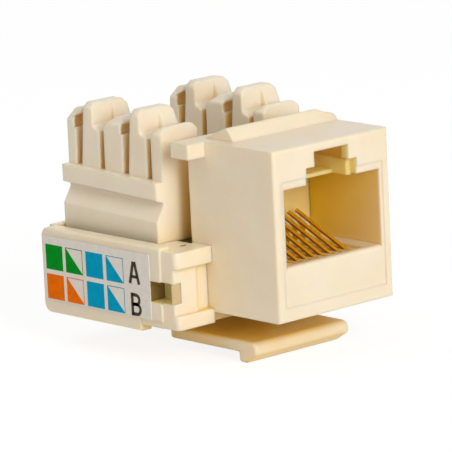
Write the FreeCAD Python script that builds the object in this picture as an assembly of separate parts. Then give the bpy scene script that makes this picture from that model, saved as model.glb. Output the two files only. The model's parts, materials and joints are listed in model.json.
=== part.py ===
import FreeCAD, Part
import os
from math import cos, pi, radians, sin

# Keystone jack, 90-degree style: a front housing with an 8-way modular port, and a rear tray that
# carries a circuit board with two four-slot punch-down blocks.
# Frame: millimetres, X to the right seen from the front, +Y to the rear, +Z up.
# Origin: the middle of the housing's front face, which is the centre of the panel opening.

V = FreeCAD.Vector
X_AXIS = V(1, 0, 0)
Y_AXIS = V(0, 1, 0)
Z_AXIS = V(0, 0, 1)
EPS = 0.5  # how far a cutting tool runs past the face that it opens
JOIN = 0.1  # how far two fused pieces reach into each other

# ---------------------------------------------------------------- front housing
HOUSING_WIDTH = 14.5
HOUSING_HEIGHT = 16.0
HOUSING_DEPTH = 11.6
WALL = 1.2
EDGE_RADIUS = 0.3
TOP = HOUSING_HEIGHT / 2
BOTTOM = -HOUSING_HEIGHT / 2
SIDE = HOUSING_WIDTH / 2

# plug port: a wide opening, a step for the plug's tab and a narrow notch above it
PORT_HALF = SIDE - WALL
PORT_FLOOR = -2.92
PORT_TOP = 4.3
PORT_DEPTH = 9.6
STEP_HALF = 3.2
STEP_TOP = 5.85
NOTCH_HALF = 2.15
NOTCH_TOP = 7.25
TAB_WALL = 1.05  # thickness of the front wall that the plug's tab hooks behind
RAIL_HALF = 2.75  # the rails beside the tab stand this far from the middle
RAIL_BOTTOM = 4.12
RAIL_TOP = 5.65
SHELF_FRONT = 3.0  # front edge of the shelf over the rear of the port
SHELF_THICK = 0.35
FLOOR_THICK = 0.95
LIP_RADIUS = 0.35  # rounded front edge of the port's floor
RAIL_RADIUS = 0.22
FACE_RECESS = 0.1  # shallow panel around the port
FACE_RECESS_HALF = 6.4
FACE_RECESS_LOW = -6.7
FACE_RECESS_HIGH = 5.0

# lugs that stop the jack at the panel, and the fixed ridge that hooks over its edge
LUG_REACH = 2.07
LUG_HEIGHT = 1.43
LUG_DEPTH = 2.4
LUG_RADIUS = 0.2
RIDGE_LEFT = -6.0
RIDGE_RIGHT = 7.2
RIDGE_FRONT = 6.6
RIDGE_CREST = 7.6
RIDGE_FLAT = 0.24
RIDGE_REAR = 10.5
RIDGE_HEIGHT = 1.2
RIDGE_END_RUN = 1.9  # the right end of the crest slopes off
RIDGE_END_DROP = 0.75

# ---------------------------------------------------------------- spring contacts
CONTACTS = 8
PITCH = 1.016
WIRE = 0.42
WIRE_SIDES = 12
TAIL_SIDES = 8
WIRE_SLOPE = 24.5  # degrees above level
BEND_Y = 1.76
BEND_Z = -4.05
BEND_RADIUS = 0.5
ARM_LENGTH = 8.0
TAIL_GAP = 0.03
TAIL_RADIUS = 0.6
TAIL_ROWS = (12.5, 14.2)  # the solder ends stand in two rows
TAIL_TOP = -1.5
HOLE_PLAY = 0.06

# ---------------------------------------------------------------- contact carrier
SLOT_HALF = 4.4  # half the opening in the port floor
SLOT_FRONT = 1.0
GROOVE = 0.62
BEND_PLAY = 0.12  # room round the bends in their grooves
CARRIER_TOP = -3.15
CARRIER_BACK = 11.4
CARRIER_PLAY = 0.05
COMB_FRONT = 8.1
COMB_TOP = -1.05
COMB_SLOPE = 0.6

# ---------------------------------------------------------------- circuit board
BOARD_TOP = -1.85
BOARD_THICK = 1.5
BOARD_HALF = 10.6
BOARD_REAR = 26.9
BOARD_TONGUE_HALF = 7.15
BOARD_FRONT = 11.65
BOARD_SHOULDER = 13.47

# ---------------------------------------------------------------- punch-down blocks
BLOCK_X = 6.5
BLOCK_MIDDLE = 20.1
BLOCK_LENGTH = 13.2
BLOCK_FRONT = BLOCK_MIDDLE - BLOCK_LENGTH / 2
BLOCK_REAR = BLOCK_MIDDLE + BLOCK_LENGTH / 2
WIRE_PITCH = 3.32
WIRE_SLOT = 0.75
WIRE_SHIFT = 0.15  # the slots sit this far behind the block's middle
BASE_HALF = 3.225
WAIST_HALF = 2.35
LEDGE_HALF = 3.22
BULGE_Z = 0.46  # these heights are those at the block's middle
WAIST_Z = 1.87
WAIST_TOP = 2.17
LEDGE_BOTTOM = 2.52
LEDGE_TOP = 4.16
LEDGE_RISE = 0.42
POST_FOOT_HALF = 2.35
POST_TOP_HALF = 2.3
POST_CORNER = 0.45
TALL_SLOPE = (0.55, 0.5)  # across and down at the corners of each post's top
SHORT_SLOPE = (0.9, 0.5)
REAR_SLOPE = (1.2, 0.95)
FRONT_SLOPE = (0.7, 0.6)
TALL_TOP = 10.37
TALL_LEAN = 0.6
TALL_RIGHT = 2.05  # the tall posts reach less far to the right at their top
SHORT_TOP = 9.3
REAR_POST_TOP = 9.52
FRONT_POST_TOP = 8.98
SHOULDER_Z = 7.75
SHOULDER_RISE = 0.2
SHOULDER = 0.87  # how far the tall post stands back above its shoulder
SHOULDER_COVE = 0.45
WEDGE_X = 0.3  # from here to the right the tall post has a wedge instead
SHORT_BROW = 1.0  # size of the slope at the front of the short post's top
SHORT_NOSE = 0.3
SHORT_FLAT = 1.5
SHORT_SHOULDER = 0.6  # the short and front posts' rear edges end this far above the shoulder
REAR_BROW = 0.3
FRONT_FLAT = 0.55
POCKET_DEPTH = 0.6
POCKET_ROOF = 0.5  # plastic left above a pocket
POCKET_LOW = 7.8
POCKET_LIP = 0.28  # how far the pocket shows on the post's outer face

# forked blades
BLADE_THICK = 0.4
BLADE_WIDTH = 2.0
BLADE_TOP = 6.9
BLADE_FORK_BOTTOM = 4.6
BLADE_FORK = 0.28
BLADE_LEG = 0.8
BLADE_LEG_OUT = 0.45  # how far the leg stands out below the board
BLADE_PLAY = 0.03
BLADE_CORNER = 0.3

# ---------------------------------------------------------------- rear tray
TRAY_HALF = 11.75
PLATE_HALF = 12.0
PLATE_INNER = 10.7
PLATE_FRONT = 10.9
PLATE_REAR = 27.75
PLATE_TOP = -1.4
PLATE_CORNER = 0.9
PLATE_RIM = 0.25
PLATE_BOTTOM = -9.62
SKIRT_FRONT = 13.95
SKIRT_STEP = 0.15  # the skirt stands out from the lower edge of the plate in front of it
SKIRT_STEP_TOP = -8.37
TRAY_BOTTOM = -9.0
TRAY_FLOOR = 1.1
TRAY_FRONT = 9.6
FLANGE_FRONT = 8.9
FLANGE_TOP = -1.73
FLANGE_THICK = 1.55
FLANGE_RADIUS = 0.5
FLANGE_BACK = 13.42
LOWER_FLANGE_TOP = -7.69
WEB_FRONT = 9.4
WEB_INNER_FRONT = 9.7
WEB_STEP_X = 8.8
WEB_BACK = 10.55
BRACKET_INNER = 9.9
WINDOW_LOW = -6.6  # pocket in the side of the bracket and plate, with a shallow step in the web before it
WINDOW_HIGH = -4.65
WINDOW_X = 10.2
WINDOW_FRONT = 9.7
WINDOW_REAR = 12.35
WINDOW_STEP_X = 10.77
WINDOW_STEP_REAR = 9.52
CAVITY_HALF = 9.9
SNAP_X = 8.65  # small slot in the top flange, in front of the block's foot
SNAP_WIDTH = 0.85
SNAP_Y = 11.25
SNAP_LENGTH = 0.45
RELIEF = 0.4  # the top flange clears the housing's rear corner
RELIEF_FRONT = 11.3
SEAT_PLAY = 0.05
REAR_WALL = 1.2

# label
LABEL_THICK = 0.08
LABEL_FRONT = 12.3
LABEL_REAR = 27.4
LABEL_LOW = -8.35
LABEL_HIGH = -2.17
LABEL_CORNER = 0.15

# ---------------------------------------------------------------- latch arm
LATCH_HALF = 5.95
LATCH_TOP = -10.72
LATCH_THICK = 1.15
LATCH_FRONT = 4.87
LATCH_REAR = 16.82
BEAD_LENGTH = 2.5
BEAD_DROP = 0.95
BEAD_SLOPE = 1.6  # length of the bead's sloped underside
LATCH_LEG = 1.2
LATCH_PIVOT_Z = -9.6
PIVOT_PLAY = 0.02
SEAT_RIM = 0.3
BEAD_BROW = 0.7
BEAD_NOSE = 0.4
BEAD_HEEL = 0.4


# ---------------------------------------------------------------- small tools
def box(x0, x1, y0, y1, z0, z1):
    return Part.makeBox(x1 - x0, y1 - y0, z1 - z0, V(x0, y0, z0))


def face_of(points):
    closed = list(points) + [points[0]]
    return Part.Face(Part.makePolygon(closed))


def prism_x(points_yz, x0, x1):
    """A side outline, given as (y, z) points, drawn out along X."""
    return face_of([V(x0, y, z) for y, z in points_yz]).extrude(V(x1 - x0, 0, 0))


def prism_y(points_xz, y0, y1):
    """A front outline, given as (x, z) points, drawn out along Y."""
    return face_of([V(x, y0, z) for x, z in points_xz]).extrude(V(0, y1 - y0, 0))


def ring(centre, along, radius, sides):
    """A regular polygon round centre, square to a direction in the YZ plane."""
    across = V(1, 0, 0)
    up = along.cross(across)
    points = []
    for step in range(sides):
        angle = 2 * pi * (step + 0.5) / sides
        points.append(centre + across * (radius * cos(angle)) + up * (radius * sin(angle)))
    return face_of(points)


def cylinder_x(y, z, radius, x0, x1):
    return Part.makeCylinder(radius, x1 - x0, V(x0, y, z), X_AXIS)


def mirrored(shape):
    return shape.mirror(V(0, 0, 0), X_AXIS)


def fuse(shapes):
    return shapes[0].fuse(list(shapes[1:])).removeSplitter()


def near(a, b):
    return abs(a - b) < 1e-4


def edges_where(shape, test):
    """The edges whose ends and middle all pass the test."""
    found = []
    for edge in shape.Edges:
        middle = edge.valueAt((edge.FirstParameter + edge.LastParameter) / 2)
        points = [vertex.Point for vertex in edge.Vertexes] + [middle]
        if all(test(point) for point in points):
            found.append(edge)
    return found


def save(name, shape):
    solids = shape.Solids
    if not solids or not shape.isValid():
        raise ValueError(name + " is not a valid solid")
    result = solids[0] if len(solids) == 1 else Part.makeCompound(solids)
    result.exportStep("parts/" + name + ".step")
    print(name, len(solids), "solid(s)", round(sum(s.Volume for s in solids), 2), "mm3")


def contact_x(index):
    return (index - (CONTACTS - 1) / 2) * PITCH


# ---------------------------------------------------------------- front housing
def housing_block():
    block = box(-SIDE, SIDE, 0, HOUSING_DEPTH, BOTTOM, TOP)
    outer = edges_where(block, lambda p: not near(p.y, HOUSING_DEPTH))
    return block.makeFillet(EDGE_RADIUS, outer)


def port_space():
    """The port with its stepped mouth, the tab's chamber, and the room under the floor for the carrier."""
    back = HOUSING_DEPTH + EPS
    under_floor = PORT_FLOOR - FLOOR_THICK
    main = box(-PORT_HALF, PORT_HALF, -EPS, back, PORT_FLOOR, PORT_TOP)
    step = box(-STEP_HALF, STEP_HALF, -EPS, TAB_WALL + EPS, PORT_TOP - EPS, STEP_TOP)
    notch = box(-NOTCH_HALF, NOTCH_HALF, -EPS, TAB_WALL + EPS, PORT_TOP, NOTCH_TOP)
    chamber = box(-STEP_HALF, STEP_HALF, TAB_WALL, back, PORT_TOP - EPS, NOTCH_TOP)
    below = box(-PORT_HALF, PORT_HALF, WALL, back, BOTTOM + WALL, under_floor)
    slot = box(-SLOT_HALF, SLOT_HALF, SLOT_FRONT, back, BOTTOM + WALL, PORT_FLOOR + EPS)
    return fuse([main, step, notch, chamber, below, slot])


def face_panel():
    return box(-FACE_RECESS_HALF, FACE_RECESS_HALF, -EPS, FACE_RECESS, FACE_RECESS_LOW, FACE_RECESS_HIGH)


def tab_rail():
    front = TAB_WALL - JOIN
    rail = box(RAIL_HALF, STEP_HALF + JOIN, front, PORT_DEPTH, RAIL_BOTTOM, RAIL_TOP)
    nose = edges_where(rail, lambda p: near(p.x, RAIL_HALF) and near(p.y, front))
    return rail.makeFillet(RAIL_RADIUS, nose)


def tab_shelf():
    half = STEP_HALF + JOIN
    return box(-half, half, SHELF_FRONT, PORT_DEPTH, RAIL_BOTTOM, RAIL_BOTTOM + SHELF_THICK)


def ridge():
    """The fixed ridge: a wedge along X whose crest slopes off at its right end."""
    crest = TOP + RIDGE_HEIGHT
    side_view = [
        (RIDGE_FRONT, TOP - EPS),
        (RIDGE_FRONT, TOP),
        (RIDGE_CREST - RIDGE_FLAT / 2, crest),
        (RIDGE_CREST + RIDGE_FLAT / 2, crest),
        (RIDGE_REAR, TOP),
        (RIDGE_REAR, TOP - EPS),
    ]
    front_view = [
        (RIDGE_LEFT, TOP - EPS),
        (RIDGE_RIGHT, TOP - EPS),
        (RIDGE_RIGHT, crest - RIDGE_END_DROP),
        (RIDGE_RIGHT - RIDGE_END_RUN, crest),
        (RIDGE_LEFT, crest),
    ]
    wedge = prism_x(side_view, RIDGE_LEFT, RIDGE_RIGHT)
    return wedge.common(prism_y(front_view, RIDGE_FRONT - EPS, RIDGE_REAR + EPS))


def lug():
    tip = SIDE + LUG_REACH
    body = box(SIDE - EPS, tip, HOUSING_DEPTH - LUG_DEPTH, HOUSING_DEPTH, TOP - LUG_HEIGHT, TOP)
    outer = edges_where(body, lambda p: near(p.x, tip) and not near(p.y, HOUSING_DEPTH))
    return body.makeFillet(LUG_RADIUS, outer)


def front_housing():
    shell = housing_block().cut([port_space(), face_panel()])
    shell = fuse([shell, tab_rail(), mirrored(tab_rail()), tab_shelf(), ridge(), lug(), mirrored(lug())])
    lip = edges_where(shell, lambda p: near(p.y, FACE_RECESS) and near(p.z, PORT_FLOOR))
    return shell.makeFillet(LIP_RADIUS, lip)


# ---------------------------------------------------------------- contact carrier
def carrier_back():
    """The plate that closes the housing from behind; the port's floor enters it on both sides."""
    play = CARRIER_PLAY
    wide = PORT_HALF - play
    narrow = STEP_HALF - play
    low = BOTTOM + WALL
    outline = [
        (-wide, low),
        (wide, low),
        (wide, PORT_TOP - play),
        (narrow, PORT_TOP - play),
        (narrow, NOTCH_TOP - play),
        (-narrow, NOTCH_TOP - play),
        (-narrow, PORT_TOP - play),
        (-wide, PORT_TOP - play),
    ]
    plate = prism_y(outline, PORT_DEPTH, CARRIER_BACK)
    floor_end = box(SLOT_HALF - play, PORT_HALF, PORT_DEPTH - EPS, CARRIER_BACK + EPS,
                    PORT_FLOOR - FLOOR_THICK, PORT_FLOOR)
    return plate.cut([floor_end, mirrored(floor_end)])


def carrier_comb():
    """Ribs between the wires' free ends, and a wider one at each side."""
    side_view = [
        (COMB_FRONT, CARRIER_TOP - EPS),
        (COMB_FRONT, COMB_TOP - COMB_SLOPE),
        (COMB_FRONT + COMB_SLOPE, COMB_TOP),
        (PORT_DEPTH + EPS, COMB_TOP),
        (PORT_DEPTH + EPS, CARRIER_TOP - EPS),
    ]
    outer = contact_x(CONTACTS - 1) + GROOVE / 2
    edge = SLOT_HALF - CARRIER_PLAY
    ribs = [prism_x(side_view, outer, edge), prism_x(side_view, -edge, -outer)]
    for index in range(1, CONTACTS):
        middle = contact_x(index) - PITCH / 2
        half = (PITCH - GROOVE) / 2
        ribs.append(prism_x(side_view, middle - half, middle + half))
    return ribs


def carrier_grooves():
    """Each wire's way: a deep groove at its bend, one along its tail, and a hole through the back plate."""
    tail_low = BEND_Z - BEND_RADIUS - WIRE / 2
    bend_end = BEND_Y + BEND_RADIUS + BEND_PLAY
    grooves = []
    for index in range(CONTACTS):
        x0 = contact_x(index) - GROOVE / 2
        x1 = contact_x(index) + GROOVE / 2
        grooves.append(box(x0, x1, SLOT_FRONT - EPS, bend_end, tail_low - BEND_PLAY, CARRIER_TOP + EPS))
        grooves.append(box(x0, x1, bend_end - JOIN, PORT_DEPTH, tail_low, CARRIER_TOP + JOIN))
        grooves.append(box(x0, x1, PORT_DEPTH - JOIN, CARRIER_BACK + EPS, tail_low, tail_low + WIRE + JOIN))
    return grooves


def contact_carrier():
    half = SLOT_HALF - CARRIER_PLAY
    base = box(-half, half, SLOT_FRONT, CARRIER_BACK, BOTTOM + WALL, CARRIER_TOP)
    body = fuse([base, carrier_back()] + carrier_comb())
    return body.cut(carrier_grooves())


# ---------------------------------------------------------------- spring contacts
def contact_arm(index):
    """The free arm and the round bend of one contact wire; it turns about the bend's centre."""
    x = contact_x(index)
    slope = radians(WIRE_SLOPE)
    along = V(0, cos(slope), sin(slope))
    pivot = V(x, BEND_Y, BEND_Z)
    under = pivot - Z_AXIS * BEND_RADIUS
    bend = ring(under, Y_AXIS, WIRE / 2, WIRE_SIDES).revolve(pivot, -X_AXIS, 180 - WIRE_SLOPE)
    start = pivot + V(0, -sin(slope), cos(slope)) * BEND_RADIUS
    arm = ring(start, along, WIRE / 2, WIRE_SIDES).extrude(along * ARM_LENGTH)
    return fuse([bend, arm])


def tail_y(index):
    """The solder ends stand in two rows, alternating from the outer wires inwards."""
    return TAIL_ROWS[min(index, CONTACTS - 1 - index) % 2]


def contact_tail(index):
    """The fixed rest of the same wire: back through the carrier and up through the board."""
    x = contact_x(index)
    z = BEND_Z - BEND_RADIUS
    turn = tail_y(index) - TAIL_RADIUS
    start = V(x, BEND_Y + TAIL_GAP, z)
    level = ring(start, Y_AXIS, WIRE / 2, TAIL_SIDES).extrude(Y_AXIS * (turn - start.y))
    centre = V(x, turn, z + TAIL_RADIUS)
    bend = ring(V(x, turn, z), Y_AXIS, WIRE / 2, TAIL_SIDES).revolve(centre, X_AXIS, 90)
    foot = V(x, tail_y(index), z + TAIL_RADIUS)
    upright = ring(foot, Z_AXIS, WIRE / 2, TAIL_SIDES).extrude(Z_AXIS * (TAIL_TOP - foot.z))
    return fuse([level, bend, upright])


# ---------------------------------------------------------------- circuit board
def wire_slot_y(index):
    return BLOCK_MIDDLE + WIRE_SHIFT + (index - 1.5) * WIRE_PITCH


def circuit_board():
    low = BOARD_TOP - BOARD_THICK
    tongue = box(-BOARD_TONGUE_HALF, BOARD_TONGUE_HALF, BOARD_FRONT, BOARD_SHOULDER + EPS, low, BOARD_TOP)
    main = box(-BOARD_HALF, BOARD_HALF, BOARD_SHOULDER, BOARD_REAR, low, BOARD_TOP)
    through = Z_AXIS * (BOARD_THICK + 2 * EPS)
    holes = []
    for index in range(CONTACTS):
        foot = V(contact_x(index), tail_y(index), low - EPS)
        holes.append(ring(foot, Z_AXIS, WIRE / 2 + HOLE_PLAY, TAIL_SIDES).extrude(through))
    half_x = BLADE_THICK / 2 + HOLE_PLAY
    half_y = BLADE_LEG / 2 + HOLE_PLAY
    for x in (-BLOCK_X, BLOCK_X):
        for index in range(4):
            y = wire_slot_y(index)
            holes.append(box(x - half_x, x + half_x, y - half_y, y + half_y, low - EPS, BOARD_TOP + EPS))
    return fuse([tongue, main]).cut(holes)


# ---------------------------------------------------------------- punch-down blocks
def block_base():
    """Bulging foot, waist and ledge as one outline, which rises a little towards the rear."""
    right = [
        (BASE_HALF, BOARD_TOP - LEDGE_RISE),
        (BASE_HALF, BULGE_Z),
        (WAIST_HALF, WAIST_Z),
        (WAIST_HALF, WAIST_TOP),
        (LEDGE_HALF, LEDGE_BOTTOM),
        (LEDGE_HALF, LEDGE_TOP),
    ]
    left = [(-x, z) for x, z in reversed(right)]
    outline = face_of([V(x, BLOCK_FRONT, z - LEDGE_RISE / 2) for x, z in right + left])
    base = outline.extrude(V(0, BLOCK_LENGTH, LEDGE_RISE))
    half = BASE_HALF + EPS
    below = box(-half, half, BLOCK_FRONT - EPS, BLOCK_REAR + EPS, BOARD_TOP - 2 * EPS, BOARD_TOP)
    return base.cut(below)


def post_envelope(top, slope, right_top=POST_TOP_HALF):
    """Front view of a post: leaning sides, and sloped, rounded corners at its top."""
    low = LEDGE_TOP - EPS
    run, drop = slope
    outline = [
        (-POST_FOOT_HALF, low),
        (POST_FOOT_HALF, low),
        (right_top, top - drop),
        (right_top - run, top),
        (-POST_TOP_HALF + run, top),
        (-POST_TOP_HALF, top - drop),
    ]
    envelope = prism_y(outline, BLOCK_FRONT - EPS, BLOCK_REAR + EPS)
    lengthwise = [edge for edge in envelope.Edges if near(edge.BoundBox.YLength, BLOCK_LENGTH + 2 * EPS)]
    corners = [edge for edge in lengthwise if edge.BoundBox.ZMin > LEDGE_TOP]
    return envelope.makeFillet(POST_CORNER, corners)


def tall_post(front, rear):
    """Thin above its shoulder; the right part carries a wedge that leans forward over the slot."""
    low = LEDGE_TOP - EPS
    face = front + SHOULDER
    crest_rear = rear - TALL_LEAN
    flat_side = [(front, low), (front, SHOULDER_Z)]
    for step in range(5):
        angle = step / 4 * pi / 2
        y = face - SHOULDER_COVE * (1 - sin(angle))
        flat_side.append((y, SHOULDER_Z + SHOULDER_RISE + SHOULDER_COVE * (1 - cos(angle))))
    back = [(crest_rear, TALL_TOP), (rear, low)]
    flat_side += [(face, TALL_TOP)] + back
    lean = [(front, low), (front, SHOULDER_Z), (face, TALL_TOP - SHOULDER_RISE), (face, TALL_TOP)]
    flat = prism_x(flat_side, -POST_FOOT_HALF, WEDGE_X)
    wedge = prism_x(lean + back, WEDGE_X, POST_FOOT_HALF)
    return fuse([flat, wedge]).common(post_envelope(TALL_TOP, TALL_SLOPE, TALL_RIGHT))


def pocket(slot_edge, top):
    """Lead-in for the wire: a hollow with an arched top, in the post behind a slot."""
    def hollow(depth, x0, x1):
        height = top - POCKET_LOW
        arch = []
        for step in range(5):
            angle = step / 4 * pi / 2
            arch.append((slot_edge + depth * cos(angle), POCKET_LOW + height * (1 + sin(angle)) / 2))
        side_view = [(slot_edge - EPS, top), (slot_edge - EPS, POCKET_LOW), (slot_edge + depth, POCKET_LOW)]
        return prism_x(side_view + arch, x0, x1)

    deep = hollow(POCKET_DEPTH, -POST_TOP_HALF + POCKET_LIP, POST_TOP_HALF - POCKET_LIP)
    shallow = hollow(POCKET_LIP, -POST_FOOT_HALF, POST_FOOT_HALF)
    return deep.fuse(shallow)


def short_post(front, rear):
    low = LEDGE_TOP - EPS
    side_view = [
        (front, low),
        (front, SHORT_TOP - SHORT_BROW),
        (front + SHORT_NOSE, SHORT_TOP - SHORT_NOSE),
        (front + SHORT_BROW, SHORT_TOP),
        (front + SHORT_FLAT, SHORT_TOP),
        (rear, SHOULDER_Z + SHORT_SHOULDER),
        (rear, low),
    ]
    post = prism_x(side_view, -POST_FOOT_HALF, POST_FOOT_HALF)
    post = post.common(post_envelope(SHORT_TOP, SHORT_SLOPE))
    return post.cut(pocket(front, SHORT_TOP - POCKET_ROOF))


def rear_post(front, rear):
    low = LEDGE_TOP - EPS
    side_view = [
        (front, low),
        (front, REAR_POST_TOP - REAR_BROW),
        (front + REAR_BROW, REAR_POST_TOP),
        (rear - REAR_BROW / 2, REAR_POST_TOP),
        (rear, REAR_POST_TOP - REAR_BROW / 2),
        (rear, low),
    ]
    post = prism_x(side_view, -POST_FOOT_HALF, POST_FOOT_HALF)
    post = post.common(post_envelope(REAR_POST_TOP, REAR_SLOPE))
    return post.cut(pocket(front, REAR_POST_TOP - POCKET_ROOF))


def front_post(front, rear):
    low = LEDGE_TOP - EPS
    side_view = [
        (front, low),
        (front, FRONT_POST_TOP),
        (front + FRONT_FLAT, FRONT_POST_TOP),
        (rear, SHOULDER_Z + SHORT_SHOULDER),
        (rear, low),
    ]
    post = prism_x(side_view, -POST_FOOT_HALF, POST_FOOT_HALF)
    return post.common(post_envelope(FRONT_POST_TOP, FRONT_SLOPE))


def idc_block():
    """One four-wire block about X = 0: base, ledge, five posts and the pockets for its blades."""
    slots = [wire_slot_y(index) for index in range(4)]
    half = WIRE_SLOT / 2
    posts = [
        front_post(BLOCK_FRONT, slots[0] - half),
        tall_post(slots[0] + half, slots[1] - half),
        short_post(slots[1] + half, slots[2] - half),
        tall_post(slots[2] + half, slots[3] - half),
        rear_post(slots[3] + half, BLOCK_REAR),
    ]
    block = fuse([block_base()] + posts)
    slit_x = BLADE_THICK / 2 + BLADE_PLAY
    slit_y = BLADE_WIDTH / 2 + BLADE_PLAY
    slits = [
        box(-slit_x, slit_x, y - slit_y, y + slit_y, BOARD_TOP - EPS, BLADE_TOP + BLADE_PLAY)
        for y in slots
    ]
    return block.cut(slits)


def idc_contact(x, y):
    """A forked blade: two tines with a slit between them, a shoulder on the board and a solder leg."""
    leg_end = BOARD_TOP - BOARD_THICK - BLADE_LEG_OUT
    half = BLADE_WIDTH / 2
    fork = BLADE_FORK / 2
    right = [
        (BLADE_LEG / 2, leg_end),
        (BLADE_LEG / 2, BOARD_TOP),
        (half, BOARD_TOP),
        (half, BLADE_TOP - BLADE_CORNER),
        (half - BLADE_CORNER, BLADE_TOP),
        (fork + BLADE_CORNER, BLADE_TOP),
        (fork, BLADE_TOP - 2 * BLADE_CORNER),
        (fork, BLADE_FORK_BOTTOM),
    ]
    left = [(-offset, z) for offset, z in reversed(right)]
    outline = [(y + offset, z) for offset, z in right + left]
    return prism_x(outline, x - BLADE_THICK / 2, x + BLADE_THICK / 2)


# ---------------------------------------------------------------- rear tray
def label_plate():
    """The right-hand side plate, with a rounded rim."""
    outline = [
        (PLATE_FRONT, PLATE_TOP),
        (PLATE_REAR, PLATE_TOP),
        (PLATE_REAR, PLATE_BOTTOM),
        (SKIRT_FRONT, PLATE_BOTTOM),
        (SKIRT_FRONT, TRAY_BOTTOM),
        (PLATE_FRONT, TRAY_BOTTOM),
    ]
    plate = prism_x(outline, PLATE_INNER, PLATE_HALF)
    corners = edges_where(plate, lambda p: near(p.y, PLATE_REAR) and near(p.z, PLATE_TOP))
    corners += edges_where(plate, lambda p: near(p.y, PLATE_REAR) and near(p.z, PLATE_BOTTOM))
    plate = plate.makeFillet(PLATE_CORNER, corners)
    rim = edges_where(plate, lambda p: near(p.x, PLATE_HALF) and p.y > PLATE_FRONT - EPS)
    rim = [edge for edge in rim if edge.BoundBox.YMax > SKIRT_FRONT + EPS]
    plate = plate.makeFillet(PLATE_RIM, rim)
    return plate.cut(box(PLATE_HALF - SKIRT_STEP, PLATE_HALF + EPS, PLATE_FRONT - EPS, SKIRT_FRONT,
                         TRAY_BOTTOM - EPS, SKIRT_STEP_TOP))


def bracket():
    """The right-hand bracket: two flanges and a web that wrap the housing's rear corner."""
    full = box(SIDE, TRAY_HALF, FLANGE_FRONT, FLANGE_BACK, TRAY_BOTTOM, FLANGE_TOP)
    corner = edges_where(full, lambda p: near(p.x, TRAY_HALF) and near(p.y, FLANGE_FRONT))
    full = full.makeFillet(FLANGE_RADIUS, corner)
    under_top = FLANGE_TOP - FLANGE_THICK
    front = FLANGE_FRONT - EPS
    recess = box(SIDE - EPS, TRAY_HALF + EPS, front, WEB_FRONT, LOWER_FLANGE_TOP, under_top)
    inner_recess = box(SIDE - EPS, WEB_STEP_X, front, WEB_INNER_FRONT, LOWER_FLANGE_TOP, under_top)
    hollow = box(SIDE - EPS, BRACKET_INNER, WEB_BACK, FLANGE_BACK + EPS, TRAY_BOTTOM + TRAY_FLOOR, under_top)
    snap = box(SNAP_X - SNAP_WIDTH / 2, SNAP_X + SNAP_WIDTH / 2, SNAP_Y - SNAP_LENGTH / 2,
               SNAP_Y + SNAP_LENGTH / 2, under_top - JOIN, FLANGE_TOP + EPS)
    relief = box(SIDE - EPS, SIDE + RELIEF, RELIEF_FRONT, FLANGE_BACK + EPS,
                 under_top - JOIN, FLANGE_TOP + EPS)
    return full.cut([recess, inner_recess, hollow, snap, relief])


def bracket_window():
    out = PLATE_HALF + EPS
    pocket_space = box(WINDOW_X, out, WINDOW_FRONT, WINDOW_REAR, WINDOW_LOW, WINDOW_HIGH)
    step = box(WINDOW_STEP_X, out, FLANGE_FRONT - EPS, WINDOW_STEP_REAR, WINDOW_LOW, WINDOW_HIGH)
    return Part.makeCompound([pocket_space, step])


def latch_seat():
    """Pad under the tray floor with the round groove that the latch arm's root lies in."""
    radius = LATCH_LEG / 2 + PIVOT_PLAY
    half_length = radius + SEAT_RIM
    y = LATCH_REAR - LATCH_LEG / 2
    pad = box(-LATCH_HALF, LATCH_HALF, y - half_length, y + half_length,
              LATCH_PIVOT_Z, TRAY_BOTTOM + SEAT_RIM)
    return pad.cut(cylinder_x(y, LATCH_PIVOT_Z, radius, -LATCH_HALF - EPS, LATCH_HALF + EPS))


def tray_tub():
    """Floor and walls, with a step round the pit that the board lies on."""
    board_low = BOARD_TOP - BOARD_THICK
    wall_half = PLATE_INNER + JOIN
    tub = box(-wall_half, wall_half, HOUSING_DEPTH, PLATE_REAR, TRAY_BOTTOM, PLATE_TOP)
    pit = box(-CAVITY_HALF, CAVITY_HALF, HOUSING_DEPTH - EPS, PLATE_REAR - REAR_WALL,
              TRAY_BOTTOM + TRAY_FLOOR, board_low)
    seat_half = BOARD_HALF + SEAT_PLAY
    board_seat = box(-seat_half, seat_half, HOUSING_DEPTH - EPS, BOARD_REAR + SEAT_PLAY,
                     board_low, PLATE_TOP + EPS)
    return tub.cut([pit, board_seat])


def base_tray():
    tongue = box(-SIDE, SIDE, TRAY_FRONT, HOUSING_DEPTH + EPS, TRAY_BOTTOM, BOTTOM)
    sides = [bracket(), mirrored(bracket()), label_plate(), mirrored(label_plate())]
    tray = fuse([tray_tub(), tongue, latch_seat()] + sides)
    # the pit goes on between the brackets, on both sides of the housing's rear end
    low = TRAY_BOTTOM + TRAY_FLOOR
    side_pit = box(SIDE, BRACKET_INNER, WEB_BACK, FLANGE_BACK + EPS, low, BOARD_TOP - BOARD_THICK)
    return tray.cut([side_pit, mirrored(side_pit), bracket_window(), mirrored(bracket_window())])


def label_left():
    sheet = box(-PLATE_HALF - LABEL_THICK, -PLATE_HALF, LABEL_FRONT, LABEL_REAR, LABEL_LOW, LABEL_HIGH)
    corners = [edge for edge in sheet.Edges if near(edge.Length, LABEL_THICK)]
    return sheet.makeFillet(LABEL_CORNER, corners)


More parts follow.
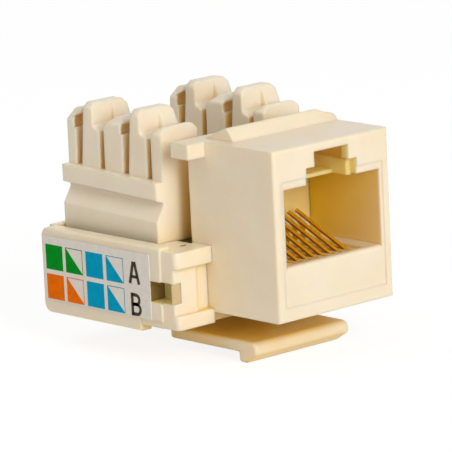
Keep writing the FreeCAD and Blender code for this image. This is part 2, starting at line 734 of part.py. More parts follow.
# ---------------------------------------------------------------- latch arm
def latch_arm():
    """Flexible latch below the housing: a flat arm with a bead in front and a round root."""
    under = LATCH_TOP - LATCH_THICK
    pivot_y = LATCH_REAR - LATCH_LEG / 2
    bead_back = LATCH_FRONT + BEAD_LENGTH
    bead_low = under - BEAD_DROP
    outline = [
        (LATCH_FRONT, LATCH_TOP),
        (LATCH_REAR, LATCH_TOP),
        (LATCH_REAR, under),
        (bead_back, under),
        (bead_back, bead_low),
        (LATCH_FRONT + BEAD_SLOPE, bead_low),
        (LATCH_FRONT, under),
    ]
    arm = prism_x(outline, -LATCH_HALF, LATCH_HALF)
    rounds = [
        (LATCH_FRONT, LATCH_TOP, BEAD_BROW),
        (LATCH_FRONT, under, BEAD_NOSE),
        (LATCH_FRONT + BEAD_SLOPE, bead_low, BEAD_NOSE),
        (bead_back, bead_low, BEAD_HEEL),
        (LATCH_REAR, under, BEAD_HEEL),
    ]
    for y, z, radius in rounds:
        arm = arm.makeFillet(radius, edges_where(arm, lambda p: near(p.y, y) and near(p.z, z)))
    leg = box(-LATCH_HALF, LATCH_HALF, LATCH_REAR - LATCH_LEG, LATCH_REAR, LATCH_TOP - JOIN, LATCH_PIVOT_Z)
    root = cylinder_x(pivot_y, LATCH_PIVOT_Z, LATCH_LEG / 2, -LATCH_HALF, LATCH_HALF)
    return fuse([arm, leg, root])


# ---------------------------------------------------------------- build
os.makedirs("parts", exist_ok=True)
save("front_housing", front_housing())
save("latch_arm", latch_arm())
save("contact_carrier", contact_carrier())
save("contact_tails", Part.makeCompound([contact_tail(index) for index in range(CONTACTS)]))
for number in range(CONTACTS):
    save("contact_" + str(number + 1), contact_arm(number))
save("circuit_board", circuit_board())
for side_name, side_x in (("left", -BLOCK_X), ("right", BLOCK_X)):
    save("idc_block_" + side_name, idc_block().translated(V(side_x, 0, 0)))
for number in range(CONTACTS):
    blade_x = -BLOCK_X if number < 4 else BLOCK_X
    save("idc_contact_" + str(number + 1), idc_contact(blade_x, wire_slot_y(number % 4)))
save("base_tray", base_tray())
save("label_left", label_left())
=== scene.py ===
import json
from math import cos, pi, radians, sin

import bmesh
import bpy
from mathutils import Matrix, Vector


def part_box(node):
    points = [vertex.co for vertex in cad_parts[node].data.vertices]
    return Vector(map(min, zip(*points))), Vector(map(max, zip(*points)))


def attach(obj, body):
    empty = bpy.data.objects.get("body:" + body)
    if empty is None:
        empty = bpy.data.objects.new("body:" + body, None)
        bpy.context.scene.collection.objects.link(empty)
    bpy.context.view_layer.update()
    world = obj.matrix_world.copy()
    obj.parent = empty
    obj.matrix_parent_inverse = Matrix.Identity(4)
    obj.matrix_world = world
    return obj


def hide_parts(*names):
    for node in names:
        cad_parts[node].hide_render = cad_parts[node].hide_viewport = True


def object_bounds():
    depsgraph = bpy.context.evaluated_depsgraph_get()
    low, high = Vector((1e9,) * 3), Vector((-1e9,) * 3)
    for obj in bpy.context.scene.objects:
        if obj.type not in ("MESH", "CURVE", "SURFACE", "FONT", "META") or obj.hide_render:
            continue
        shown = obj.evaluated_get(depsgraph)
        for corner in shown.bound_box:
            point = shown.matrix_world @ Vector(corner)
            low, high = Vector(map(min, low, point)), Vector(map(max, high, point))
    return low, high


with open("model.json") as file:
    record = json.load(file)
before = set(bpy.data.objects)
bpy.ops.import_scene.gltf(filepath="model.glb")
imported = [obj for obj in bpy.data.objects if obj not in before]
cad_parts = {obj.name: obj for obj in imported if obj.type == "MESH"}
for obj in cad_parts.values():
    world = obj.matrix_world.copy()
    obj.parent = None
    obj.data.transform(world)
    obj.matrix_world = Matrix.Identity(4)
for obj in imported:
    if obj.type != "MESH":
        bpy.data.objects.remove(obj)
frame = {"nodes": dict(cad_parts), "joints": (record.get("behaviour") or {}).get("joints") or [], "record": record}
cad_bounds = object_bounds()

MM = 0.001

# ---------------------------------------------------------------- colours as sRGB, 0 to 255
IVORY = (243, 228, 202)
IVORY_WARM = (240, 222, 191)
# painted shade: the amber tone of sheltered ivory plastic
IVORY_PAINTED_SHADE = (246, 209, 104)
BLOCK_IVORY = (246, 233, 210)
BLOCK_WARM = (241, 225, 199)
# painted shade: the amber tone of sheltered block plastic
BLOCK_PAINTED_SHADE = (232, 196, 120)
# painted shade in the notch above the port
NOTCH_PAINTED_AMBER = (255, 217, 130)
# painted shade in the snap window pockets
WINDOW_PAINTED_SHADE = (246, 224, 156)
WINDOW_PAINTED_DARK = (138, 114, 60)
# painted shade on the steps before the windows and in the flange slots
STEP_PAINTED_SHADE = (206, 182, 144)
SLOT_PAINTED_SHADE = (96, 74, 34)
GOLD = (255, 212, 52)
GOLD_DARK = (250, 190, 38)
# painted shade on the flanks and undersides of the gold
GOLD_PAINTED_SHADE = (172, 92, 14)
TIN = (200, 200, 194)
TIN_DARK = (150, 150, 146)
# painted shade on the flanks and undersides of the tin
TIN_PAINTED_SHADE = (110, 108, 104)
# the board's own colour, darkened to olive as painted shade for the dark gap where it shows
BOARD_OLIVE = (68, 64, 22)
PAPER = (238, 230, 218)
INKS = {
    "green": (0, 152, 34),
    "orange": (255, 118, 4),
    "blue": (0, 166, 206),
    "grey": (80, 73, 62),
}
WHITE = (1, 1, 1, 1)
BLACK = (0, 0, 0, 1)

# ---------------------------------------------------------------- places with painted shade
# Each place is a box with a low and a high corner, and its mirror image at the middle plane.
# The plug port's walls are painted amber, as painted shade for light that reaches them through
# the plastic. Surfaces that face PORT_LIT are lit through the opening and get less of it, staying pale.
PORT_LOW = Vector((0, 0.5, -3.0)) * MM
PORT_HIGH = Vector((6.1, 9.8, 7.3)) * MM
PORT_MARGIN = 0.3 * MM
PORT_LIT = Vector((0, -0.45, 1.0))
# A place's dot product with PORT_DEEPENS is its position in the painted amber stops below.
PORT_DEEPENS = Vector((0, 1, 0.5)) / PORT_HIGH.y
PORT_PAINTED_AMBERS = [
    (0.1, (246, 215, 142)),
    (0.5, (248, 213, 102)),
    (0.8, (242, 205, 60)),
    (1.0, (234, 199, 26)),
]

# The stepped notch above the port is painted amber all round as painted shade, and its walls scatter light
# further.
NOTCH_LOW = Vector((0, 0.3, 4.35)) * MM
NOTCH_HIGH = Vector((3.25, 9.8, 7.3)) * MM
NOTCH_MARGIN = 0.2 * MM

# The pockets of the two snap windows have painted shade, darkest on surfaces that face WINDOW_DARK_SIDE, towards
# the key lamp.
WINDOW_LOW = Vector((10.1, 9.6, -6.65)) * MM
WINDOW_HIGH = Vector((12.3, 12.4, -4.6)) * MM
WINDOW_MARGIN = 0.05 * MM
WINDOW_DARK_SIDE = Vector((0, -1, 0))

# Painted shade on the shallow step before each window, and in the small slot in each top flange.
SMALL_PAINTED_HOLLOWS = [
    (Vector((10.75, 9.45, -6.62)) * MM, Vector((12.3, 9.58, -4.63)) * MM, STEP_PAINTED_SHADE),
    (Vector((8.2, 11.0, -3.4)) * MM, Vector((9.1, 11.5, -1.79)) * MM, SLOT_PAINTED_SHADE),
]
SMALL_MARGIN = 0.02 * MM

# ---------------------------------------------------------------- surface detail
NOISE_SPREAD = (0.3, 0.7)  # nearly all noise values lie between these two
MOTTLE_DETAIL = 4
GRAIN_DETAIL = 2

# Mottle and grain are in blobs per metre.
PLASTIC_MOTTLE = 220
PLASTIC_GRAIN = 9000
PLASTIC_GRAIN_STRENGTH = 0.12
PLASTIC_GRAIN_DEPTH = 0.02 * MM
PLASTIC_ROUGHNESS = (0.28, 0.34)
WARM_UP_TO = 0.25
PALE_FROM = 0.6
# painted shade where the plastic is sheltered: how far and how finely shelter is sought, and where the shade
# starts and ends
SHELTER_REACH = 14 * MM
SHELTER_SAMPLES = 8
FULLY_SHELTERED = 0.17  # share of open surroundings below which the plastic has all of its painted shade tone
FULLY_OPEN = 0.38  # and above which it has none of it
EDGE_ROUNDING = 0.3 * MM
EDGE_SAMPLES = 6
SCATTER_WEIGHT = 0.6
SCATTER_RADIUS = (1.0, 0.7, 0.35)
SCATTER = 0.8 * MM
NOTCH_SCATTER = 5 * MM

METAL_LIT = Vector((0.05, -0.2, 1.9))  # so long that only flanks and undersides get the painted shade
METAL_DARK_UP_TO = 0.3
METAL_BRIGHT_FROM = 0.6
METAL_GRAIN_FINER = 12  # the grain's blobs per metre, as a multiple of the mottle's
METAL_GRAIN_STRENGTH = 0.08
METAL_GRAIN_DEPTH = 0.01 * MM

PRINT_GRAIN = 1500
PRINT_DETAIL = 5
PRINT_GRAIN_DEPTH = 0.02 * MM
PRINT_DARK_UP_TO = 0.3
PRINT_FULL_FROM = 0.65
PRINT_ROUGHNESS_SPREAD = 0.12


# ---------------------------------------------------------------- node helpers
def linear(rgb):
    """An sRGB colour, 0 to 255, as Blender's linear colour with alpha."""
    channels = []
    for value in rgb:
        value /= 255
        channels.append(value / 12.92 if value <= 0.04045 else ((value + 0.055) / 1.055) ** 2.4)
    return (*channels, 1.0)


def new_material(name):
    """A new material with its node tree and its shader."""
    material = bpy.data.materials.new(name)
    material.use_nodes = True
    tree = material.node_tree
    return material, tree, tree.nodes["Principled BSDF"]


def feed(tree, socket, value):
    """Links an output to the socket, or sets the socket to a plain value."""
    if isinstance(value, bpy.types.NodeSocket):
        tree.links.new(value, socket)
    else:
        socket.default_value = value


def surface_data(tree, output):
    """Object: the place in the row frame. Normal: the way the surface faces."""
    return tree.nodes.new("ShaderNodeTexCoord").outputs[output]


def math_value(tree, operation, *operands, clamp=False):
    """The result of a Math node, from outputs or numbers."""
    node = tree.nodes.new("ShaderNodeMath")
    node.operation = operation
    node.use_clamp = clamp
    for socket, operand in zip(node.inputs, operands):
        feed(tree, socket, operand)
    return node.outputs["Value"]


def vector_math(tree, operation, *operands):
    """The result of a Vector Math node: a number for a dot product, otherwise a vector."""
    node = tree.nodes.new("ShaderNodeVectorMath")
    node.operation = operation
    for socket, operand in zip(node.inputs, operands):
        feed(tree, socket, operand)
    return node.outputs["Value" if operation == "DOT_PRODUCT" else "Vector"]


def separate(tree, vector):
    """The outputs X, Y and Z of a vector."""
    parts = tree.nodes.new("ShaderNodeSeparateXYZ")
    feed(tree, parts.inputs["Vector"], vector)
    return parts.outputs


def map_range(tree, value, source, target):
    """The value, mapped from the source range (low, high) to the target range and kept within it."""
    node = tree.nodes.new("ShaderNodeMapRange")
    feed(tree, node.inputs["Value"], value)
    for name, limit in zip(("From Min", "From Max", "To Min", "To Max"), (*source, *target)):
        node.inputs[name].default_value = limit
    return node.outputs["Result"]


def noise_value(tree, scale, detail):
    """Noise in the row frame; scale is in blobs per metre."""
    noise = tree.nodes.new("ShaderNodeTexNoise")
    noise.inputs["Scale"].default_value = scale
    noise.inputs["Detail"].default_value = detail
    feed(tree, noise.inputs["Vector"], surface_data(tree, "Object"))
    return noise.outputs["Fac"]


def ramp_colour(tree, value, stops):
    """The value, mapped through (position, colour) stops."""
    ramp = tree.nodes.new("ShaderNodeValToRGB")
    elements = ramp.color_ramp.elements
    while len(elements) < len(stops):
        elements.new(0.5)
    for element, (position, colour) in zip(elements, stops):
        element.position = position
        element.color = colour
    feed(tree, ramp.inputs["Fac"], value)
    return ramp.outputs["Color"]


def mix_colour(tree, factor, first, second):
    """The first colour at factor 0, and the second at 1."""
    mix = tree.nodes.new("ShaderNodeMix")
    mix.data_type = "RGBA"
    sockets = {socket.name: socket for socket in mix.inputs if socket.enabled}
    feed(tree, sockets["Factor"], factor)
    feed(tree, sockets["A"], first)
    feed(tree, sockets["B"], second)
    return next(socket for socket in mix.outputs if socket.enabled)


def add_bump(tree, shader, height, strength, depth, normal=None):
    """Bump on the shader, over a normal of its own if one is given."""
    bump = tree.nodes.new("ShaderNodeBump")
    bump.inputs["Strength"].default_value = strength
    bump.inputs["Distance"].default_value = depth
    feed(tree, bump.inputs["Height"], height)
    if normal is not None:
        feed(tree, bump.inputs["Normal"], normal)
    feed(tree, shader.inputs["Normal"], bump.outputs["Normal"])


def mirrored_place(tree):
    """The place in the row frame, with X as its distance from the middle plane."""
    parts = separate(tree, surface_data(tree, "Object"))
    whole = tree.nodes.new("ShaderNodeCombineXYZ")
    feed(tree, whole.inputs["X"], math_value(tree, "ABSOLUTE", parts["X"]))
    feed(tree, whole.inputs["Y"], parts["Y"])
    feed(tree, whole.inputs["Z"], parts["Z"])
    return whole.outputs["Vector"]


def inside_box(tree, low, high, margin):
    """1 inside the box and its mirror image, falling to 0 over the margin round them."""
    middle, half = (low + high) / 2, (high - low) / 2
    offset = vector_math(tree, "SUBTRACT", mirrored_place(tree), middle)
    distance = vector_math(tree, "ABSOLUTE", offset)
    past_faces = separate(tree, vector_math(tree, "SUBTRACT", distance, half))
    outside = math_value(tree, "MAXIMUM", past_faces["X"], past_faces["Y"])
    outside = math_value(tree, "MAXIMUM", outside, past_faces["Z"])
    return map_range(tree, outside, (0, margin), (1, 0))


def turned_away(tree, towards):
    """1 less the dot product of the surface's direction and the vector, kept between 0 and 1."""
    facing = vector_math(tree, "DOT_PRODUCT", surface_data(tree, "Normal"), towards)
    return math_value(tree, "SUBTRACT", 1.0, facing, clamp=True)


# ---------------------------------------------------------------- materials
def port_painted_amber(tree):
    """The painted amber shade of the port's walls, stronger towards its back and a little towards its ceiling."""
    inwards = vector_math(tree, "DOT_PRODUCT", surface_data(tree, "Object"), PORT_DEEPENS)
    stops = [(position, linear(painted_amber)) for position, painted_amber in PORT_PAINTED_AMBERS]
    return ramp_colour(tree, inwards, stops)


def plastic_colour(tree, surface, painted_shade, in_notch):
    """The surface colour, with painted shade: the amber tone where it is sheltered, and the painted tones of the
    places.
    """
    shelter = tree.nodes.new("ShaderNodeAmbientOcclusion")
    shelter.samples = SHELTER_SAMPLES
    shelter.inputs["Distance"].default_value = SHELTER_REACH
    shelter_stops = [(FULLY_SHELTERED, WHITE), (FULLY_OPEN, BLACK)]
    sheltered = ramp_colour(tree, shelter.outputs["AO"], shelter_stops)
    in_port = inside_box(tree, PORT_LOW, PORT_HIGH, PORT_MARGIN)
    port_shade_tint = mix_colour(tree, in_notch, turned_away(tree, PORT_LIT), WHITE)
    shade_tint = mix_colour(tree, in_port, sheltered, port_shade_tint)
    painted_amber = mix_colour(tree, in_notch, port_painted_amber(tree), linear(NOTCH_PAINTED_AMBER))
    shaded_tone = mix_colour(tree, in_port, linear(painted_shade), painted_amber)
    colour = mix_colour(tree, shade_tint, surface, shaded_tone)
    in_window = inside_box(tree, WINDOW_LOW, WINDOW_HIGH, WINDOW_MARGIN)
    lighter = turned_away(tree, WINDOW_DARK_SIDE)
    window_shade = mix_colour(tree, lighter, linear(WINDOW_PAINTED_DARK), linear(WINDOW_PAINTED_SHADE))
    colour = mix_colour(tree, in_window, colour, window_shade)
    for low, high, hollow_shade in SMALL_PAINTED_HOLLOWS:
        colour = mix_colour(tree, inside_box(tree, low, high, SMALL_MARGIN), colour, linear(hollow_shade))
    return colour


def moulded_plastic(name, pale, warm, painted_shade):
    """Satin moulded plastic: faintly mottled, with painted shade in sheltered places, softly scattering, with
    rounded edges.
    """
    material, tree, shader = new_material(name)
    mottle = noise_value(tree, PLASTIC_MOTTLE, MOTTLE_DETAIL)
    surface = ramp_colour(tree, mottle, [(WARM_UP_TO, linear(warm)), (PALE_FROM, linear(pale))])
    in_notch = inside_box(tree, NOTCH_LOW, NOTCH_HIGH, NOTCH_MARGIN)
    feed(tree, shader.inputs["Base Color"], plastic_colour(tree, surface, painted_shade, in_notch))
    feed(tree, shader.inputs["Roughness"], map_range(tree, mottle, NOISE_SPREAD, PLASTIC_ROUGHNESS))
    rounded = tree.nodes.new("ShaderNodeBevel")
    rounded.samples = EDGE_SAMPLES
    rounded.inputs["Radius"].default_value = EDGE_ROUNDING
    rounded_normal = rounded.outputs["Normal"]
    grain = noise_value(tree, PLASTIC_GRAIN, GRAIN_DETAIL)
    add_bump(tree, shader, grain, PLASTIC_GRAIN_STRENGTH, PLASTIC_GRAIN_DEPTH, rounded_normal)
    shader.inputs["Subsurface Weight"].default_value = SCATTER_WEIGHT
    shader.inputs["Subsurface Radius"].default_value = SCATTER_RADIUS
    scatter = map_range(tree, in_notch, (0, 1), (SCATTER, NOTCH_SCATTER))
    feed(tree, shader.inputs["Subsurface Scale"], scatter)
    return material


def plated_metal(name, bright, dark, underside_shade, mottling, roughness, metallic):
    """Plated metal with painted shade on flanks and undersides; roughness is for its dark and its bright blobs."""
    material, tree, shader = new_material(name)
    mottle = noise_value(tree, mottling, MOTTLE_DETAIL)
    stops = [(METAL_DARK_UP_TO, linear(dark)), (METAL_BRIGHT_FROM, linear(bright))]
    surface = ramp_colour(tree, mottle, stops)
    colour = mix_colour(tree, turned_away(tree, METAL_LIT), surface, linear(underside_shade))
    feed(tree, shader.inputs["Base Color"], colour)
    feed(tree, shader.inputs["Roughness"], map_range(tree, mottle, NOISE_SPREAD, roughness))
    grain = noise_value(tree, mottling * METAL_GRAIN_FINER, GRAIN_DETAIL)
    add_bump(tree, shader, grain, METAL_GRAIN_STRENGTH, METAL_GRAIN_DEPTH)
    shader.inputs["Metallic"].default_value = metallic
    return material


def printed(name, colour, spread, roughness, bump, gloss):
    """Film, solder mask or ink, slightly uneven; spread is how much darker its darkest places are."""
    material, tree, shader = new_material(name)
    grain = noise_value(tree, PRINT_GRAIN, PRINT_DETAIL)
    darker = tuple(value * (1 - spread) for value in colour)
    stops = [(PRINT_DARK_UP_TO, linear(darker)), (PRINT_FULL_FROM, linear(colour))]
    feed(tree, shader.inputs["Base Color"], ramp_colour(tree, grain, stops))
    roughest = roughness + PRINT_ROUGHNESS_SPREAD
    feed(tree, shader.inputs["Roughness"], map_range(tree, grain, NOISE_SPREAD, (roughness, roughest)))
    add_bump(tree, shader, grain, bump, PRINT_GRAIN_DEPTH)
    shader.inputs["Specular IOR Level"].default_value = gloss
    return material


materials = {
    "ivory_plastic": moulded_plastic("ivory_plastic", IVORY, IVORY_WARM, IVORY_PAINTED_SHADE),
    "carrier_plastic": moulded_plastic("carrier_plastic", IVORY, IVORY_WARM, IVORY_PAINTED_SHADE),
    "block_plastic": moulded_plastic("block_plastic", BLOCK_IVORY, BLOCK_WARM, BLOCK_PAINTED_SHADE),
    "contact_gold": plated_metal(
        "contact_gold", GOLD, GOLD_DARK, GOLD_PAINTED_SHADE,
        mottling=1800, roughness=(0.14, 0.08), metallic=0.65),
    "blade_tin": plated_metal(
        "blade_tin", TIN, TIN_DARK, TIN_PAINTED_SHADE,
        mottling=2500, roughness=(0.42, 0.25), metallic=1.0),
    "board_green": printed("board_green", BOARD_OLIVE, spread=0.3, roughness=0.3, bump=0.1, gloss=0.15),
    "label_paper": printed("label_paper", PAPER, spread=0.03, roughness=0.42, bump=0.05, gloss=0.15),
}
for ink, ink_colour in INKS.items():
    materials["ink_" + ink] = printed(
        "ink_" + ink, ink_colour, spread=0.08, roughness=0.5, bump=0.05, gloss=0.03)

for part in frame["record"]["subparts"]:
    slot = "block_plastic" if part["node"].startswith("idc_block") else part["material_slot"]
    node = frame["nodes"][part["node"]]
    node.data.materials.clear()
    node.data.materials.append(materials[slot])


# ---------------------------------------------------------------- round spring wires
WIRE_SLOPE = radians(24.5)  # above level
BEND_STEPS = 16
WIRE_ROUNDNESS = 5


def spring_wire(joint):
    """The free arm of one contact: round its bend, then straight up into the port."""
    number = joint["name"].rsplit("_", 1)[1]
    low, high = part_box("contact_" + number)
    pivot = Vector(joint["pos_m"])
    wire = (high[0] - low[0]) / 2
    bend = pivot.z - low[2] - wire
    length = (high[2] - pivot.z - (bend + wire) * cos(WIRE_SLOPE)) / sin(WIRE_SLOPE)
    points = []
    for step in range(BEND_STEPS + 1):
        angle = (pi - WIRE_SLOPE) * step / BEND_STEPS
        points.append(pivot + Vector((0, -sin(angle), -cos(angle))) * bend)
    along = Vector((0, cos(WIRE_SLOPE), sin(WIRE_SLOPE)))
    points.append(points[-1] + along * length)
    data = bpy.data.curves.new("spring_wire_" + number, "CURVE")
    data.dimensions = "3D"
    data.bevel_depth = wire
    data.bevel_resolution = WIRE_ROUNDNESS
    data.use_fill_caps = True
    spline = data.splines.new("POLY")
    spline.points.add(len(points) - 1)
    for target, point in zip(spline.points, points):
        target.co = (*point, 1)
    spline.use_smooth = True
    data.materials.append(materials["contact_gold"])
    obj = bpy.data.objects.new("spring_wire_" + number, data)
    bpy.context.scene.collection.objects.link(obj)
    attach(obj, joint["child"])
    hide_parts("contact_" + number)


for spring_joint in frame["joints"]:
    if spring_joint["name"].startswith("contact_press_"):
        spring_wire(spring_joint)


# ---------------------------------------------------------------- softened edges
EDGE_WIDTHS = {
    "front_housing": 0.15 * MM,
    "base_tray": 0.12 * MM,
    "idc_block_left": 0.15 * MM,
    "idc_block_right": 0.15 * MM,
    "latch_arm": 0.3 * MM,
}
UNCLAMPED = "latch_arm"  # only this one is plain enough for its full width everywhere
EDGE_SEGMENTS = 2
EDGE_ANGLE = radians(28)
FLAT_ANGLE = radians(0.6)
WELD_GAP = 0.001 * MM


def soften(node_name, width):
    """Rounds the node's sharp edges with modifiers, after its flat faces are joined up."""
    node = frame["nodes"][node_name]
    weld = node.modifiers.new("weld", "WELD")
    weld.merge_threshold = WELD_GAP
    flat = node.modifiers.new("flat_faces", "DECIMATE")
    flat.decimate_type = "DISSOLVE"
    flat.angle_limit = FLAT_ANGLE
    bevel = node.modifiers.new("edge_round", "BEVEL")
    bevel.width = width
    bevel.segments = EDGE_SEGMENTS
    bevel.limit_method = "ANGLE"
    bevel.angle_limit = EDGE_ANGLE
    bevel.use_clamp_overlap = node_name != UNCLAMPED
    normals = node.modifiers.new("face_normals", "WEIGHTED_NORMAL")
    normals.keep_sharp = False


for node_name, edge_width in EDGE_WIDTHS.items():
    soften(node_name, edge_width)


# ---------------------------------------------------------------- printed wiring label
label_low, label_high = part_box("label_left")
LABEL_FACE = label_low[0]
LABEL_REAR = label_high[1]
LABEL_TOP = label_high[2]
INK_LIFT = 0.006 * MM
INK_THICK = 0.01 * MM
CELL_WIDE = 2.42 * MM
CELL_HIGH = 2.4 * MM
COLUMN_STARTS = [start * MM for start in (0.4, 3.26, 6.16, 9.05)]
ROW_STARTS = [start * MM for start in (0.78, 3.63)]
ROW_INKS = [("green", "green", "blue", "blue"), ("orange", "orange", "blue", "blue")]
OUTLINE = 0.065 * MM

STROKE = 0.36 * MM
A_ACROSS = 12.16 * MM
A_DOWN = 0.91 * MM
A_WIDE = 1.62 * MM
A_HIGH = 2.1 * MM
A_PEAK = 0.45  # how far each leg's top stands off the middle, in half strokes
A_BAR_DOWN = 0.68  # where the bar lies, in the letter's height
A_BAR_INSET = 0.24  # how far the bar's ends stand in, in the letter's width
A_BAR_STROKE = 0.8 * STROKE
B_ACROSS = A_ACROSS + 0.2 * MM
B_DOWN = 3.88 * MM
B_WIDE = 1.45 * MM
B_HIGH = 2.18 * MM
B_WAIST = 0.49  # where the bowls meet, in the letter's height
B_UPPER_REACH = 0.93  # the upper bowl's width, in the letter's width
B_BOWL_STROKE = 0.9 * STROKE
BOWL_STEPS = 12


def on_label(across, down, lift):
    """A point on the label: across runs from its rear edge to the front, down from its top edge."""
    return Vector((LABEL_FACE - lift, LABEL_REAR - across, LABEL_TOP - down))


def add_print(mesh, outline):
    """A thin closed print with that outline of (across, down) points."""
    low = [mesh.verts.new(on_label(across, down, INK_LIFT)) for across, down in outline]
    high = [mesh.verts.new(on_label(across, down, INK_LIFT + INK_THICK)) for across, down in outline]
    mesh.faces.new(high)
    mesh.faces.new(list(reversed(low)))
    for index in range(len(outline)):
        after = (index + 1) % len(outline)
        mesh.faces.new((low[index], low[after], high[after], high[index]))


def make_object(name, mesh, material, body):
    """Turns the mesh into an object that rides on the body."""
    bmesh.ops.recalc_face_normals(mesh, faces=mesh.faces)
    data = bpy.data.meshes.new(name)
    mesh.to_mesh(data)
    mesh.free()
    data.materials.append(material)
    obj = bpy.data.objects.new(name, data)
    bpy.context.scene.collection.objects.link(obj)
    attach(obj, body)


def rectangle(across, down, wide, high):
    """The outline of a rectangle, from its corner at the rear and top."""
    return [(across, down), (across + wide, down), (across + wide, down + high), (across, down + high)]


def cell(name, across, down, ink, half):
    """A colour cell: full, or its rear lower triangle with a thin frame round the rest."""
    mesh = bmesh.new()
    if half:
        corner = (across + CELL_WIDE, down + CELL_HIGH)
        add_print(mesh, [(across, down), corner, (across, down + CELL_HIGH)])
        add_print(mesh, rectangle(across + OUTLINE, down, CELL_WIDE - OUTLINE, OUTLINE))
        front_edge = across + CELL_WIDE - OUTLINE
        add_print(mesh, rectangle(front_edge, down + OUTLINE, OUTLINE, CELL_HIGH - 2 * OUTLINE))
    else:
        add_print(mesh, rectangle(across, down, CELL_WIDE, CELL_HIGH))
    make_object(name, mesh, materials["ink_" + ink], "jack")


def stroke(mesh, points, width):
    """A band of even width along a line of (across, down) points."""
    left, right = [], []
    for index, point in enumerate(points):
        before = Vector(points[max(index - 1, 0)])
        after = Vector(points[min(index + 1, len(points) - 1)])
        along = (after - before).normalized()
        side = Vector((-along.y, along.x)) * width / 2
        left.append(tuple(Vector(point) + side))
        right.append(tuple(Vector(point) - side))
    for index in range(len(points) - 1):
        add_print(mesh, [left[index], left[index + 1], right[index + 1], right[index]])


def letter_a(across, down, wide, high):
    """Two legs that meet at the top, and the bar between them."""
    mesh = bmesh.new()
    middle = across + wide / 2
    foot = STROKE / 2
    stroke(mesh, [(across + foot, down + high), (middle - foot * A_PEAK, down)], STROKE)
    stroke(mesh, [(across + wide - foot, down + high), (middle + foot * A_PEAK, down)], STROKE)
    bar = down + high * A_BAR_DOWN
    bar_ends = [(across + wide * A_BAR_INSET, bar), (across + wide * (1 - A_BAR_INSET), bar)]
    stroke(mesh, bar_ends, A_BAR_STROKE)
    make_object("letter_a", mesh, materials["ink_grey"], "jack")


def letter_b(across, down, wide, high):
    """A stem with a smaller bowl above a larger one."""
    mesh = bmesh.new()
    foot = STROKE / 2
    stroke(mesh, [(across + foot, down), (across + foot, down + high)], STROKE)
    waist = high * B_WAIST
    for top, bottom, reach in ((foot, waist, wide * B_UPPER_REACH), (waist, high - foot, wide)):
        radius = (bottom - top) / 2
        centre = reach - foot - radius
        bowl = [(across + foot, down + top), (across + centre, down + top)]
        for step in range(1, BOWL_STEPS):
            angle = -pi / 2 + step * pi / BOWL_STEPS
            ahead, below = radius * cos(angle), radius * sin(angle)
            bowl.append((across + centre + ahead, down + top + radius + below))
        bowl += [(across + centre, down + bottom), (across + foot, down + bottom)]
        stroke(mesh, bowl, B_BOWL_STROKE)
    make_object("letter_b", mesh, materials["ink_grey"], "jack")


for row, row_inks in enumerate(ROW_INKS):
    for column, cell_ink in enumerate(row_inks):
        cell_name = f"cell_{row + 1}_{column + 1}"
        cell(cell_name, COLUMN_STARTS[column], ROW_STARTS[row], cell_ink, half=column % 2 == 1)
letter_a(A_ACROSS, A_DOWN, A_WIDE, A_HIGH)
letter_b(B_ACROSS, B_DOWN, B_WIDE, B_HIGH)


# ---------------------------------------------------------------- floor, lamps and world
FLOOR_HALF = 1.5
FLOOR_GLOW = 0.86  # what the camera sees of the floor: this, and a veil that keeps the shadow
FLOOR_VEIL = (0.22, 0.22, 0.22, 1)
FLOOR_MATT = (0.92, 0.92, 0.92, 1)
WORLD_LIGHT = 0.335
WORLD_SHOWN = 1.0
LAMP_DISTANCE = 0.6

object_low, object_high = (Vector(corner) for corner in cad_bounds)
object_centre = (object_low + object_high) / 2


def path_switch(tree, shown, lighting):
    """Camera, glossy and transmission rays take the first shader, all others the second."""
    path = tree.nodes.new("ShaderNodeLightPath")
    seen = math_value(tree, "MAXIMUM", path.outputs["Is Camera Ray"], path.outputs["Is Glossy Ray"])
    seen = math_value(tree, "MAXIMUM", seen, path.outputs["Is Transmission Ray"])
    mix = tree.nodes.new("ShaderNodeMixShader")
    feed(tree, mix.inputs["Fac"], seen)
    feed(tree, mix.inputs[1], lighting)
    feed(tree, mix.inputs[2], shown)
    return mix.outputs["Shader"]


def diffuse(tree, colour):
    """A matt shader."""
    node = tree.nodes.new("ShaderNodeBsdfDiffuse")
    node.inputs["Color"].default_value = colour
    return node.outputs["BSDF"]


def background(tree, strength):
    """White light of the world."""
    node = tree.nodes.new("ShaderNodeBackground")
    node.inputs["Color"].default_value = WHITE
    node.inputs["Strength"].default_value = strength
    return node.outputs["Background"]


def floor_material():
    """White to the camera, with the object's shadow, and a plain matt floor to the light."""
    material = bpy.data.materials.new("floor_white")
    material.use_nodes = True
    tree = material.node_tree
    tree.nodes.clear()
    glow = tree.nodes.new("ShaderNodeEmission")
    glow.inputs["Strength"].default_value = FLOOR_GLOW
    shown = tree.nodes.new("ShaderNodeAddShader")
    feed(tree, shown.inputs[0], glow.outputs["Emission"])
    feed(tree, shown.inputs[1], diffuse(tree, FLOOR_VEIL))
    surface = path_switch(tree, shown.outputs["Shader"], diffuse(tree, FLOOR_MATT))
    output = tree.nodes.new("ShaderNodeOutputMaterial")
    feed(tree, output.inputs["Surface"], surface)
    return material


def make_floor():
    """A wide plane that touches the object's lowest point."""
    mesh = bmesh.new()
    bmesh.ops.create_grid(mesh, x_segments=1, y_segments=1, size=FLOOR_HALF)
    data = bpy.data.meshes.new("floor")
    mesh.to_mesh(data)
    mesh.free()
    data.materials.append(floor_material())
    floor = bpy.data.objects.new("floor", data)
    floor.location = (0, 0, object_low.z)
    bpy.context.scene.collection.objects.link(floor)


def make_world():
    """A soft even light that shows as plain white."""
    world = bpy.data.worlds.new("studio")
    bpy.context.scene.world = world
    world.use_nodes = True
    tree = world.node_tree
    tree.nodes.clear()
    surface = path_switch(tree, background(tree, WORLD_SHOWN), background(tree, WORLD_LIGHT))
    output = tree.nodes.new("ShaderNodeOutputWorld")
    feed(tree, output.inputs["Surface"], surface)


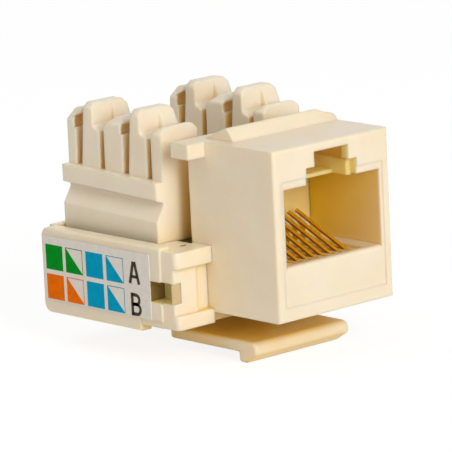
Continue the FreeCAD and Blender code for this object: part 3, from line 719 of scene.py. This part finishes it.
def direction(azimuth, elevation):
    """From the object towards a lamp or camera. Azimuth 0 stands in front, at -Y, and 90 at +X."""
    a, e = radians(azimuth), radians(elevation)
    return Vector((sin(a) * cos(e), -cos(a) * cos(e), sin(e)))


def make_lamp(name, azimuth, elevation, size, watts, colour=(1, 1, 1)):
    """A round soft lamp that points at the middle of the object."""
    lamp = bpy.data.lights.new(name, "AREA")
    lamp.shape = "DISK"
    lamp.size = size
    lamp.energy = watts
    lamp.color = colour
    obj = bpy.data.objects.new(name, lamp)
    towards = direction(azimuth, elevation)
    obj.location = object_centre + towards * LAMP_DISTANCE
    obj.rotation_euler = towards.to_track_quat("Z", "Y").to_euler()
    bpy.context.scene.collection.objects.link(obj)


make_floor()
make_world()
make_lamp("key", azimuth=-11, elevation=21, size=0.4, watts=2.3)
make_lamp("top_fill", azimuth=-150, elevation=70, size=0.5, watts=0.5)
make_lamp("left_fill", azimuth=-85, elevation=50, size=0.4, watts=0.32, colour=(1.0, 0.92, 0.8))

# ---------------------------------------------------------------- camera
CAMERA_AZIMUTH = -41.94
CAMERA_ELEVATION = 11.97
CAMERA_ROLL = -2.78
CAMERA_DISTANCE = 430 * MM
CAMERA_LENS = 368.5
CAMERA_SENSOR = 36
CAMERA_CLIP = 0.01
AIM = Vector((0, 8, 0)) * MM
AIM_RIGHT = -4.58 * MM
AIM_UP = -0.81 * MM


def make_camera():
    """Looks from the left and a little above; AIM_RIGHT and AIM_UP place the object in the picture."""
    backwards = direction(CAMERA_AZIMUTH, CAMERA_ELEVATION)
    right = Vector((0, 0, 1)).cross(backwards).normalized()
    up = backwards.cross(right)
    roll = radians(CAMERA_ROLL)
    axis_x = right * cos(roll) + up * sin(roll)
    axis_y = up * cos(roll) - right * sin(roll)
    place = AIM + right * AIM_RIGHT + up * AIM_UP + backwards * CAMERA_DISTANCE
    data = bpy.data.cameras.new("camera")
    data.lens = CAMERA_LENS
    data.sensor_width = CAMERA_SENSOR
    data.clip_start = CAMERA_CLIP
    camera = bpy.data.objects.new("camera", data)
    turn = Matrix((axis_x, axis_y, backwards)).transposed().to_4x4()
    camera.matrix_world = Matrix.Translation(place) @ turn
    bpy.context.scene.collection.objects.link(camera)
    bpy.context.scene.camera = camera


make_camera()
bpy.context.scene.view_settings.view_transform = "Standard"
